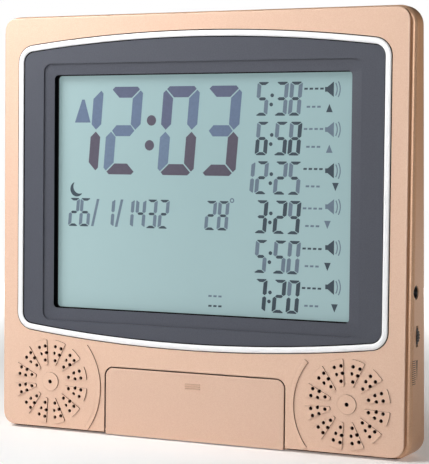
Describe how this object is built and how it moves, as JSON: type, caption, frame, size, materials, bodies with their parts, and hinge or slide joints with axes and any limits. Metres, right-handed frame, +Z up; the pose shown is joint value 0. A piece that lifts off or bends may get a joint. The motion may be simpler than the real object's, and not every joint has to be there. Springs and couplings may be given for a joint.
{
  "type": "azan clock",
  "caption": "Slim beige desk and wall clock with a segment display in a silver-edged dark surround, round speaker grilles, a drop-down key door and fold-down feet.",
  "frame": {"origin": "centre of the flat base, under the middle of the case", "axes": "+X to the clock's own right side as seen from the front, the display faces -Y, +Z up"},
  "size_m": [0.2411, 0.0267, 0.227],
  "materials": {
    "case_plastic": "pearly satin",
    "rear_plastic": "satin",
    "silver_trim": "silver paint",
    "bezel_plastic": "matt",
    "display_glass": "satin",
    "white_plastic": "satin",
    "black_plastic": "satin",
    "dark_rubber": "matt",
    "circuit_board": "satin",
    "speaker_paper": "matt",
    "plated_steel": "plated",
    "cell_jacket": "gloss",
    "foam": "open foam"
  },
  "bodies": {
    "case": {"front_case": "case_plastic", "rear_case": "rear_plastic", "trim_ring": "silver_trim", "display_bezel": "bezel_plastic", "lcd_panel": "display_glass", "zebra_connector": "dark_rubber", "light_guide": "white_plastic", "lcd_holder": "white_plastic", "main_board": "circuit_board", "controller_chip": "black_plastic", "quartz_crystal": "plated_steel", "keypad_mat": "dark_rubber", "key_board": "circuit_board", "power_inlet": "black_plastic", "inlet_pin": "plated_steel", "volume_control": "plated_steel", "volume_board": "circuit_board", "speaker_gasket_left": "foam", "speaker_frame_left": "plated_steel", "speaker_magnet_left": "speaker_paper", "speaker_cone_left": "speaker_paper", "speaker_gasket_right": "foam", "speaker_frame_right": "plated_steel", "speaker_magnet_right": "speaker_paper", "speaker_cone_right": "speaker_paper", "battery_cell_1": "cell_jacket", "contact_plate_1": "plated_steel", "contact_spring_1": "plated_steel", "battery_cell_2": "cell_jacket", "contact_plate_2": "plated_steel", "contact_spring_2": "plated_steel", "battery_cell_3": "cell_jacket", "contact_plate_3": "plated_steel", "contact_spring_3": "plated_steel", "case_screw_1": "plated_steel", "case_screw_2": "plated_steel", "case_screw_3": "plated_steel", "case_screw_4": "plated_steel", "case_screw_5": "plated_steel", "case_screw_6": "plated_steel"},
    "key_door": {"key_door": "case_plastic"},
    "volume_wheel": {"volume_wheel": "black_plastic"},
    "battery_door": {"battery_door": "rear_plastic"},
    "foot_left": {"foot_left": "rear_plastic"},
    "foot_right": {"foot_right": "rear_plastic"},
    "door_catch": {"door_catch": "white_plastic"},
    "key_mode": {"key_mode": "dark_rubber"},
    "key_set": {"key_set": "dark_rubber"},
    "key_up": {"key_up": "dark_rubber"},
    "key_down": {"key_down": "dark_rubber"},
    "key_alarm": {"key_alarm": "dark_rubber"},
    "key_light": {"key_light": "dark_rubber"},
    "key_city": {"key_city": "dark_rubber"},
    "key_volume": {"key_volume": "dark_rubber"}
  },
  "joints": [
    {"name": "key_door_hinge", "type": "hinge", "parent": "case", "child": "key_door", "pos_m": [0, -0.0125, 0.0029], "axis": [1, 0, 0], "range_deg": [0, 90]},
    {"name": "catch_press", "type": "slide", "parent": "case", "child": "door_catch", "axis": [0, 1, 0], "range_m": [0, 0.0008], "stiffness_N_per_m": 800},
    {"name": "volume_turn", "type": "hinge", "parent": "case", "child": "volume_wheel", "pos_m": [0.1131, -0.004, 0.062], "axis": [0, -1, 0], "range_deg": [-140, 140]},
    {"name": "battery_door_hinge", "type": "hinge", "parent": "case", "child": "battery_door", "pos_m": [0, 0.01109, 0.0038], "axis": [-1, 0, 0], "range_deg": [0, 75]},
    {"name": "foot_left_hinge", "type": "hinge", "parent": "case", "child": "foot_left", "pos_m": [-0.0795, 0.01028, 0.0022], "axis": [-1, 0, 0], "range_deg": [0, 94]},
    {"name": "foot_right_hinge", "type": "hinge", "parent": "case", "child": "foot_right", "pos_m": [0.0795, 0.01028, 0.0022], "axis": [-1, 0, 0], "range_deg": [0, 94]},
    {"name": "key_mode_press", "type": "slide", "parent": "case", "child": "key_mode", "axis": [0, 1, 0], "range_m": [0, 0.0007], "stiffness_N_per_m": 1200},
    {"name": "key_set_press", "type": "slide", "parent": "case", "child": "key_set", "axis": [0, 1, 0], "range_m": [0, 0.0007], "stiffness_N_per_m": 1200},
    {"name": "key_up_press", "type": "slide", "parent": "case", "child": "key_up", "axis": [0, 1, 0], "range_m": [0, 0.0007], "stiffness_N_per_m": 1200},
    {"name": "key_down_press", "type": "slide", "parent": "case", "child": "key_down", "axis": [0, 1, 0], "range_m": [0, 0.0007], "stiffness_N_per_m": 1200},
    {"name": "key_alarm_press", "type": "slide", "parent": "case", "child": "key_alarm", "axis": [0, 1, 0], "range_m": [0, 0.0007], "stiffness_N_per_m": 1200},
    {"name": "key_light_press", "type": "slide", "parent": "case", "child": "key_light", "axis": [0, 1, 0], "range_m": [0, 0.0007], "stiffness_N_per_m": 1200},
    {"name": "key_city_press", "type": "slide", "parent": "case", "child": "key_city", "axis": [0, 1, 0], "range_m": [0, 0.0007], "stiffness_N_per_m": 1200},
    {"name": "key_volume_press", "type": "slide", "parent": "case", "child": "key_volume", "axis": [0, 1, 0], "range_m": [0, 0.0007], "stiffness_N_per_m": 1200}
  ]
}
